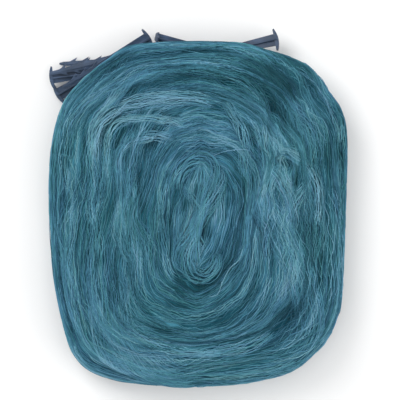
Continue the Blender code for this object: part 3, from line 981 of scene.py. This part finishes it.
locks = {
    "count": 110,
    "twines": (4, 11),        # fewest, and one more than the most
    "length": (0.14, 0.42),
    "most": 0.9,              # of a round
    "from": (0.3, 6.7),       # turns on which they begin
    "to": (0.3, 6.8),         # and end
    "fromSteps": 200,
    "drift": 0.26,            # turns by which a lock may change its place
    "softTo": 3.4,            # turn up to which locks bridge the grooves
    "pitch": 0.0013,          # from twine to twine
    "fan": (0.22, 0.10, 0.22),  # swell of the pitch: share, shortest and longest wave
    "meander": 0.0016,
    "meanderSpread": (0.5, 1.3),
    "sway": ((1.0, 0.10, 0.20), (0.45, 0.04, 0.07)),  # share of the meander, shortest and longest wave
    "own": (0.0002, 0.0007),  # each twine's own meander
    "ownWave": (0.04, 0.08),
    "lift": 0.0006,
    "liftSpread": (-0.0006, 0.0010),
    "crown": 0.0010,          # how much higher the middle lies
    "rise": (0.0008, 0.08, 0.18),      # wave of the whole lock
    "liftWave": (0.0005, 0.03, 0.07),  # and of each twine
    "dive": 0.0050,           # of the ends
    "diveLength": 0.028,
    "tone": (0.27, 0.64),
    "toneSpread": 0.13,
    "knotted": 3,             # one lock in so many
    "pieces": {"netInnerLocks": 2.9, "netOuterLocks": 4.4, "netRimLocks": 7.0},
}


def layLock(strands, surface, lock):  # a few twines that run together over the others
    settings = locks
    distance = twineSteps(lock["span"] * loopLength(0.5 * (lock["from"] + lock["to"])))
    share = distance / distance[-1]
    part = lock["begin"] + lock["span"] * share
    path = lock["from"] + (lock["to"] - lock["from"]) * softStep(share)
    points, normals = onSurface(surface, part, path)
    loose = np.maximum(looseShare(points), lock["loose"])
    sway = lock["meander"] * waves(distance, *settings["sway"])
    fan = 1.0 + waves(distance, settings["fan"])
    rise = lock["lift"] + waves(distance, settings["rise"])
    dive = settings["dive"] * (1.0 - endShare(distance, settings["diveLength"]))
    middle = 0.5 * (lock["count"] - 1)
    meshes = distance / meshLength()
    for index in range(lock["count"]):
        offset = (index - middle) / (middle + 0.5)
        own = zigzag(meshes, loose, index % 2)
        own = own + waves(distance, (rng.uniform(*settings["own"]), *settings["ownWave"]))
        sideways = sway + own + (index - middle) * lock["pitch"] * fan
        turn = np.clip(path + sideways / twine["turnWidth"], 0.0, hankForm["turns"] - twine["floorGap"])
        lift = rise + settings["crown"] * (1.0 - offset ** 2) - dive
        lift = lift + waves(distance, settings["liftWave"])
        layTwine(strands, surface, part, turn, lift, lock["tone"] + rng.normal(0.0, settings["toneSpread"]))
        if lock["knotted"]:
            tieKnots(strands, index % 2)


def lockSurface(turn):
    return softSurface if turn < locks["softTo"] else netSurface


def layLocks():
    settings = locks
    groups = {name: newStrands() for name in settings["pieces"]}
    turns = np.linspace(*settings["from"], settings["fromSteps"])
    weight = np.array([loopLength(turn) for turn in turns])
    for index in range(settings["count"]):
        turn0 = float(rng.choice(turns, p=weight / weight.sum()))
        drift = rng.uniform(-1.0, 1.0) * settings["drift"]
        layLock(groups[pieceAt(settings["pieces"], turn0)], lockSurface(turn0), {
            "begin": rng.uniform(),
            "span": min(rng.uniform(*settings["length"]) / loopLength(turn0), settings["most"]),
            "from": turn0,
            "to": float(np.clip(turn0 + drift, *settings["to"])),
            "count": int(rng.integers(*settings["twines"])),
            "pitch": settings["pitch"],
            "lift": settings["lift"] + rng.uniform(*settings["liftSpread"]),
            "tone": rng.uniform(*settings["tone"]),
            "meander": settings["meander"] * rng.uniform(*settings["meanderSpread"]),
            "loose": 0.0,
            "knotted": index % settings["knotted"] == 0,
        })
    for name, strands in groups.items():
        buildStrands(name, strands)


# Where the net has come loose, meshes lie open: begin, span, from turn, to turn, twines
openMeshes = (
    (0.215, 0.130, 3.45, 3.70, 14), (0.240, 0.120, 2.75, 2.95, 12), (0.300, 0.110, 3.10, 3.35, 12),
    (0.225, 0.090, 2.25, 2.35, 6), (0.345, 0.090, 3.60, 3.40, 8), (0.455, 0.090, 3.20, 3.30, 7),
    (0.640, 0.080, 3.40, 3.55, 7), (0.720, 0.090, 3.75, 3.60, 6), (0.860, 0.070, 3.10, 3.00, 6),
    (0.560, 0.080, 2.60, 2.75, 6), (0.255, 0.100, 4.20, 4.35, 7), (0.105, 0.080, 3.40, 3.55, 7),
)

openMeshShape = {"pitch": 0.0034, "lift": 0.0014, "meander": 0.0018, "loose": 0.65, "tone": (0.46, 0.66)}


def layOpenMeshes():
    strands = newStrands()
    for begin, span, fromTurn, toTurn, count in openMeshes:
        layLock(strands, lockSurface(fromTurn), {
            **openMeshShape, "begin": begin, "span": span, "from": fromTurn, "to": toTurn, "count": count,
            "tone": rng.uniform(*openMeshShape["tone"]), "knotted": True,
        })
    buildStrands("netOpenMeshes", strands)


ropeTwines = {
    "pitch": 0.0018,
    "layers": 2,
    "layerHeight": 0.0010,
    "layerTurn": 0.7,         # radians by which the roll of each layer runs ahead
    "edge": 0.98,             # of the half width, inside which the twines lie
    "lift": 0.0006,
    "dive": 0.0045,           # of the ends
    "endWidth": 0.72,         # of a rope, against its middle
    "roll": 0.22,             # half widths by which the twines wander over the rope
    "meander": ((0.0012, 0.07, 0.16), (0.00048, 0.03, 0.06)),
    "liftWave": (0.0007, 0.05, 0.12),
    "last": 6.9,              # turn beyond which none of them goes
    "loose": 0.15,
    "tone": (0.34, 0.60),
    "toneSpread": 0.10,
}


def layRopes():
    settings = ropeTwines
    strands = newStrands()
    for begin, end, fromTurn, toTurn, halfWidth, _ in crossings:
        distance = twineSteps((end - begin) * float(roundLength(0.5 * (fromTurn + toTurn))))
        share = distance / distance[-1]
        part = begin + (end - begin) * share
        middle = fromTurn + (toTurn - fromTurn) * softStep(share)
        perLayer = int(2.0 * halfWidth * twine["turnWidth"] / settings["pitch"])
        ends = endShare(distance, hankForm["crossingTaper"])
        width = halfWidth * (settings["endWidth"] + (1.0 - settings["endWidth"]) * ends)
        base = rng.uniform(*settings["tone"])
        meshes = distance / meshLength()
        for index in range(perLayer * settings["layers"]):
            layer = index // perLayer
            across = settings["edge"] * (2.0 * (index % perLayer + 0.5) / perLayer - 1.0)
            own = zigzag(meshes, settings["loose"], index % 2) + waves(distance, *settings["meander"])
            rolled = np.sin(2.0 * math.pi * share + settings["layerTurn"] * layer)
            roll = settings["roll"] * rolled * (1.0 - across ** 2)
            turn = middle + (across + roll) * width + own / twine["turnWidth"]
            turn = evenTurn(np.clip(turn, twine["slotGap"], settings["last"]), part)
            lift = settings["lift"] + settings["layerHeight"] * layer - settings["dive"] * (1.0 - ends)
            lift = lift + waves(distance, settings["liftWave"])
            layTwine(strands, netSurface, part, turn, lift, base + rng.normal(0.0, settings["toneSpread"]))
    buildStrands("netRopes", strands)


# Bundles laid over the face: middle line in millimetres, twines, rise, tone and, where it isn't the
# usual one, the ending
bundles = (
    (((-150, 50), (-152, 96), (-145, 128), (-124, 149), (-92, 161), (-50, 168), (0, 168), (44, 150)),
     24, 0.0062, 0.62),
    (((-132, 44), (-133, 96), (-127, 119), (-114, 134), (-92, 139), (-62, 139), (-28, 130), (8, 112)),
     16, 0.0056, 0.58),
    (((-112, 36), (-116, 76), (-107, 98), (-88, 109), (-62, 113), (-30, 106), (-6, 88)), 16, 0.0046, 0.56),
    (((-189, 89), (-182, 131), (-153, 167), (-111, 191), (-58, 205), (-5, 202)), 18, 0.0024, 0.46),
    (((-16, 198), (26, 204), (65, 195), (88, 170), (91, 135), (75, 103)), 20, 0.0030, 0.38),
    (((20, 184), (40, 164), (56, 138), (66, 106), (70, 70), (66, 30)), 20, 0.0036, 0.58),
    (((112, 229), (157, 211), (188, 174), (206, 128), (210, 75)), 16, 0.0022, 0.58),
    (((182, 86), (171, 62), (155, 38), (140, 14), (127, -14), (117, -48), (113, -86)),
     16, 0.0030, 0.48, (0.0, 56)),
    (((82, 96), (100, 74), (117, 52), (131, 26), (138, -6), (138, -40)), 24, 0.0052, 0.50),
    (((90, 94), (126, 92), (156, 73), (173, 42), (176, 4), (166, -44)), 20, 0.0052, 0.52),
    (((84, 60), (100, 30), (106, -10), (98, -52), (104, -96)), 12, 0.0024, 0.44),
    (((190, 60), (176, 20), (184, -30), (178, -84)), 10, 0.0022, 0.42),
    (((-171, -168), (-118, -207), (-37, -235), (47, -239), (118, -225), (171, -196)), 16, 0.0022, 0.48),
    (((-128, -150), (-69, -188), (-5, -203), (65, -196), (125, -160)), 18, 0.0028, 0.52),
    (((66, -186), (50, -206), (34, -226), (20, -246)), 9, 0.0020, 0.58),
    (((-196, 40), (-184, -20), (-190, -80), (-172, -130)), 12, 0.0022, 0.48),
    (((-150, 70), (-158, 10), (-144, -40), (-152, -96)), 12, 0.0024, 0.50),
    (((7, 74), (6, 48), (3, 20), (0, -6), (-5, -39), (-4, -78)), 14, 0.0014, 0.42, (0.78, 10)),
    (((-34, 24), (-30, 54), (-14, 74), (8, 80), (20, 64), (15, 36), (5, 4), (-6, -30), (-15, -60),
      (-10, -84), (8, -91), (24, -76), (30, -46)), 22, 0.0052, 0.44, (0.70, 30)),
    (((30, 84), (30, 56), (20, 28), (4, 2), (-10, -26), (-24, -54), (-28, -88)),
     26, 0.0070, 0.46, (0.60, 40)),
    (((-26, 62), (-16, 34), (-4, 8), (-2, -22), (8, -52), (20, -72)), 12, 0.0090, 0.48, (0.50, 40)),
)

bundleShape = {
    "ending": (0.0, 46),      # share of a hollow filled, millimetres in which an end dives under the others
    "pitch": 0.0011,
    "width": 0.95,            # pitches from twine to twine
    "endNarrows": 0.35,       # and how many fewer at the ends
    "fan": (0.18, 0.12, 0.20),  # its swell: pitches, shortest and longest wave
    "sway": ((0.0012, 0.08, 0.15), (0.00048, 0.03, 0.06)),
    "liftWave": (0.0006, 0.04, 0.10),
    "loose": 0.12,
    "dip": 0.0065,            # of the ends under the others
    "bridge": 6,              # rings on each side over which a twine spans the grooves under it
    # painted light on a bundle's raised middle, painted shade on its ends where they dive under the others
    "paintedCrownLight": 0.16,
    "paintedEndShade": 0.2,
    "toneSpread": 0.11,
    "toneWave": (0.06, 0.05, 0.12),  # along each twine
    "knotted": 4,             # one twine in so many
}


def bridged(heights):  # the mean over the neighbouring rings
    width = bundleShape["bridge"]
    padded = np.concatenate([np.repeat(heights[:1], width), heights, np.repeat(heights[-1:], width)])
    return np.convolve(padded, np.full(2 * width + 1, 1.0 / (2 * width + 1)), "valid")


def layBundles():
    settings = bundleShape
    strands = newStrands()
    for path, count, height, tone, *ending in bundles:
        fill, endLength = ending[0] if ending else settings["ending"]
        curve = smoothCurve(path, curveSteps, False) * mm + hankShift[:2]
        length = np.linalg.norm(np.diff(curve, axis=0), axis=1).sum()
        curve = evenly(curve, int(length / twine["step"]), False)
        distance = np.linspace(0.0, length, len(curve))
        run = unit(np.gradient(curve, axis=0))
        side = np.stack([-run[:, 1], run[:, 0]], axis=1)
        ends = endShare(distance, endLength * mm)
        fan = settings["width"] + waves(distance, settings["fan"]) - settings["endNarrows"] * (1.0 - ends)
        middle = 0.5 * (count - 1)
        meshes = distance / meshLength()
        for index in range(count):
            crown = 1.0 - ((index - middle) / (middle + 0.5)) ** 2
            own = zigzag(meshes, settings["loose"], index % 2) + waves(distance, *settings["sway"])
            plan = curve + side * ((index - middle) * settings["pitch"] * fan + own)[:, None]
            points, normals = onFace(plan)
            lift = height * crown * ends - settings["dip"] * (1.0 - ends)
            lift = lift + waves(distance, settings["liftWave"])
            points[:, 2] = bridged(points[:, 2])
            points[:, 2] += fill * ends * np.maximum(hankForm["crownHeight"] - points[:, 2], 0.0)
            points = points + normals * lift[:, None]
            # painted light on the crown, painted shade at the diving ends
            shade = tone + settings["paintedCrownLight"] * crown + rng.normal(0.0, settings["toneSpread"])
            shade = shade - settings["paintedEndShade"] * (1.0 - ends) + broadTone(points)
            shade = shade + waves(distance, settings["toneWave"])
            addStrand(strands, points, normals, np.clip(shade, 0.0, 1.0))
            if index % settings["knotted"] == 0:
                tieKnots(strands, 0.5)
    buildStrands("netBundles", strands)


strays = {
    "count": 36,
    "length": (0.05, 0.18),
    "most": 0.6,              # of a round
    "from": (0.6, 6.0),       # turns on which they begin
    "to": (0.4, 6.4),         # and end
    "drift": 0.5,
    "lift": (0.0012, 0.0026),
    "tone": (0.45, 0.68),
    "meander": 0.0045,
    "loose": 0.2,
}


def layStrays():  # single twines that have worked loose
    settings = strays
    strands = newStrands()
    for index in range(settings["count"]):
        turn0 = rng.uniform(*settings["from"])
        span = rng.uniform(*settings["length"]) / loopLength(turn0)
        begin = rng.uniform()
        drift = rng.uniform(-1.0, 1.0) * settings["drift"]
        layLock(strands, softSurface, {
            "begin": begin,
            "span": min(span, settings["most"]),
            "from": turn0,
            "to": float(np.clip(turn0 + drift, *settings["to"])),
            "count": 1,
            "pitch": 0.0,
            "lift": rng.uniform(*settings["lift"]),
            "tone": rng.uniform(*settings["tone"]),
            "meander": settings["meander"],
            "loose": settings["loose"],
            "knotted": True,
        })
    buildStrands("netStrays", strands)


# Core under the twines
# the core's low tone is painted shade in the depths under the twines
coreShape = {"columns": 300, "rows": 160, "sink": 0.0015, "restHeight": 0.0022, "tone": 0.30}


def buildCore():
    settings = coreShape
    shape = bmesh.new()
    shape.loops.layers.uv.new("OFBake")
    bmesh.ops.create_grid(
        shape, x_segments=settings["columns"], y_segments=settings["rows"], size=0.5, calc_uvs=True)
    mesh = meshFrom(shape, "netCore")
    flat = np.zeros(len(mesh.vertices) * 3)
    mesh.vertices.foreach_get("co", flat)
    part = flat[0::3] + 0.5
    turn = (flat[1::3] + 0.5) * hankForm["turnsAndFoot"]
    points, normals = onSurface(netSurface, part, turn)
    points = points - normals * settings["sink"]
    points[:, 2] = np.maximum(points[:, 2], settings["restHeight"])
    mesh.vertices.foreach_set("co", points.astype(np.float32).ravel())
    corners = np.zeros(len(mesh.loops), np.int32)
    mesh.loops.foreach_get("vertex_index", corners)
    across = turn * twine["turnWidth"]
    setMap(mesh, "twine", np.stack([part * hankForm["outlineLength"], across], axis=1)[corners])
    setValues(mesh, "tone", settings["tone"] + streaksWithPaintedLightAt(part, turn) + broadTone(points))
    setValues(mesh, "hue", twineLook["hueMiddle"] + broadHue(points))
    shape = bmesh.new()
    shape.from_mesh(mesh)
    bmesh.ops.remove_doubles(shape, verts=shape.verts[:], dist=mergeWithin)
    openEdges = [edge for edge in shape.edges if edge.is_boundary]
    bmesh.ops.holes_fill(shape, edges=openEdges, sides=0)
    bmesh.ops.recalc_face_normals(shape, faces=shape.faces[:])
    shape.to_mesh(mesh)
    shape.free()
    mesh.shade_smooth()
    piece = finishPiece("netCore", mesh, depthsMaterial)
    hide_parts("net_hank")
    print("netCore:", 2 * len(mesh.polygons), "triangles")


knotShape = {"length": 0.0013, "width": 0.0010, "height": 0.0010, "aside": 0.0004, "paler": 0.06}


def buildKnots():
    centre, tangent, normal, tone, hue = (np.concatenate(values) for values in knots.values())
    tangent = unit(tangent)
    side = unit(np.cross(tangent, normal))
    up = np.cross(side, tangent)
    centre = centre + side * knotShape["aside"]
    along = tangent * knotShape["length"]
    across = side * knotShape["width"]
    above = up * knotShape["height"]
    vertices = np.stack([
        centre + along, centre + across, centre - along, centre - across, centre + above, centre - above,
    ], axis=1).reshape(-1, 3)
    pattern = np.array([
        (1, 0, 4), (2, 1, 4), (3, 2, 4), (0, 3, 4), (0, 1, 5), (1, 2, 5), (2, 3, 5), (3, 0, 5),
    ])
    corners = len(vertices) // len(centre)
    faces = (np.arange(len(centre))[:, None, None] * corners + pattern[None]).reshape(-1, 3)
    mesh = meshFromArrays("netKnots", vertices, faces)
    setMap(mesh, "twine", np.zeros((faces.size, 2)))
    setValues(mesh, "tone", np.repeat(tone + knotShape["paler"], corners))
    setValues(mesh, "hue", np.repeat(hue, corners))
    mesh.shade_smooth()
    finishPiece("netKnots", mesh, twineMaterial)
    print(f"netKnots: {len(centre)} knots, {len(faces)} triangles")


print("hank: winding the twines")
buildCore()
layTurnTwines()
layLocks()
layOpenMeshes()
layRopes()
layBundles()
layStrays()
buildKnots()


# Ground pegs, with the moulding's rounded edges
pegShape = {
    "bevel": 0.00035,
    "segments": 2,
    "flatTo": 0.01,           # angle between two faces up to which they are one
    "bevelFrom": math.radians(25),
    "smoothTo": math.radians(40),
}

pegLook = {
    "colours": ((0.30, (0.036, 0.059, 0.102)), (0.75, (0.074, 0.116, 0.202))),
    "cloudSize": 34.0,
    "cloudShade": 1.1,
    "grainSize": 520.0,
    "scuffs": (26.0, 240.0, 240.0),
    "scuffShade": 0.9,
    "scuffHeight": 0.8,
    "roughness": 0.52,
    "roughnessSpread": 0.35,
    "specular": 0.30,
    "bump": 0.00018,
    "bumpStrength": 0.5,
}


def makePegMaterial():
    look = pegLook
    material, tree, shader = newMaterial("pegPlastic")
    place = objectPlace(tree)
    clouds = softPatches(tree, place, look["cloudSize"], 3.0, look["cloudShade"])
    grain = noiseNode(tree, place, look["grainSize"], 2.0)
    scuff = streakNode(tree, place, look["scuffs"], 2.0)
    shade = addUp(tree, clouds, mathNode(tree, "MULTIPLY", scuff, look["scuffShade"]))
    rough = addUp(tree, look["roughness"], centred(tree, scuff, look["roughnessSpread"]))
    height = addUp(tree, grain, mathNode(tree, "MULTIPLY", scuff, look["scuffHeight"]))
    finishShader(tree, shader, look, colourRamp(tree, shade, look["colours"]), rough, height)
    return material


def bentEdges(shape, least, most):  # whose two faces meet at such an angle
    shared = [edge for edge in shape.edges if len(edge.link_faces) == 2]
    return [edge for edge in shared if least <= edge.calc_face_angle() < most]


def buildPeg(name, node, material):
    settings = pegShape
    shape = bmesh.new()
    shape.from_mesh(node.data)
    bmesh.ops.remove_doubles(shape, verts=shape.verts[:], dist=mergeWithin)
    flat = bentEdges(shape, 0.0, settings["flatTo"])
    bmesh.ops.dissolve_edges(shape, edges=flat, use_verts=False)
    sharp = bentEdges(shape, settings["bevelFrom"], math.inf)
    bmesh.ops.bevel(
        shape, geom=sharp, offset=settings["bevel"], segments=settings["segments"], profile=0.5,
        affect="EDGES", material=-1, clamp_overlap=True)
    bmesh.ops.triangulate(shape, faces=shape.faces[:])
    mesh = meshFrom(shape, name + "_moulded")
    mesh.shade_smooth()
    mesh.set_sharp_from_angle(angle=settings["smoothTo"])
    piece = finishPiece(name + "_moulded", mesh, material)
    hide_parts(name)
    print(f"{name}: {len(mesh.polygons)} triangles")


print("pegs: rounding the mouldings")
pegMaterial = makePegMaterial()
for name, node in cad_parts.items():
    if name.startswith("peg"):
        buildPeg(name, node, pegMaterial)


# Floor, light and camera
stageLook = {
    "floorSize": 6.0,
    "floorColour": (0.90, 0.90, 0.90, 1.0),
    "floorRoughness": 0.8,
    "worldColour": (1.0, 1.0, 1.0, 1.0),
    "worldStrength": 0.60,
    "lamps": (  # name, place, size, power
        ("keyLamp", (-1.0, 1.0, 1.8), 1.2, 24.0),
        ("fillLamp", (1.5, -0.7, 1.5), 1.5, 13.0),
        ("topLamp", (0.0, 0.0, 2.6), 2.0, 16.0),
    ),
    "aim": (0.0022, 0.020, 0.055),   # point of the hank that the camera looks at
    "frameWidth": 0.592,             # of the picture there
    "lens": 200.0,
    "sensor": 36.0,
}


def buildFloor():
    shape = bmesh.new()
    bmesh.ops.create_grid(shape, x_segments=1, y_segments=1, size=stageLook["floorSize"] / 2)
    mesh = meshFrom(shape, "floor")
    material, tree, shader = newMaterial("floorPaper")
    shader.inputs["Base Color"].default_value = stageLook["floorColour"]
    shader.inputs["Roughness"].default_value = stageLook["floorRoughness"]
    mesh.materials.append(material)
    addObject("floor", mesh)


def buildLights():
    world = bpy.data.worlds.new("studio")
    bpy.context.scene.world = world
    world.use_nodes = True
    background = world.node_tree.nodes["Background"]
    background.inputs["Color"].default_value = stageLook["worldColour"]
    background.inputs["Strength"].default_value = stageLook["worldStrength"]
    for name, place, size, power in stageLook["lamps"]:
        lamp = bpy.data.lights.new(name, "AREA")
        lamp.energy = power
        lamp.size = size
        holder = addObject(name, lamp)
        holder.location = place
        holder.rotation_euler = (-Vector(place)).to_track_quat("-Z", "Y").to_euler()


def buildCamera():  # straight above the face
    camera = bpy.data.cameras.new("camera")
    camera.lens = stageLook["lens"]
    camera.sensor_width = stageLook["sensor"]
    distance = stageLook["frameWidth"] / stageLook["sensor"] * stageLook["lens"]
    holder = addObject("camera", camera)
    holder.location = Vector(stageLook["aim"]) + Vector(hankShift) + Vector((0.0, 0.0, distance))
    bpy.context.scene.camera = holder
    bpy.context.scene.view_settings.view_transform = "Standard"


print("stage: floor, lamps and camera")
buildFloor()
buildLights()
buildCamera()
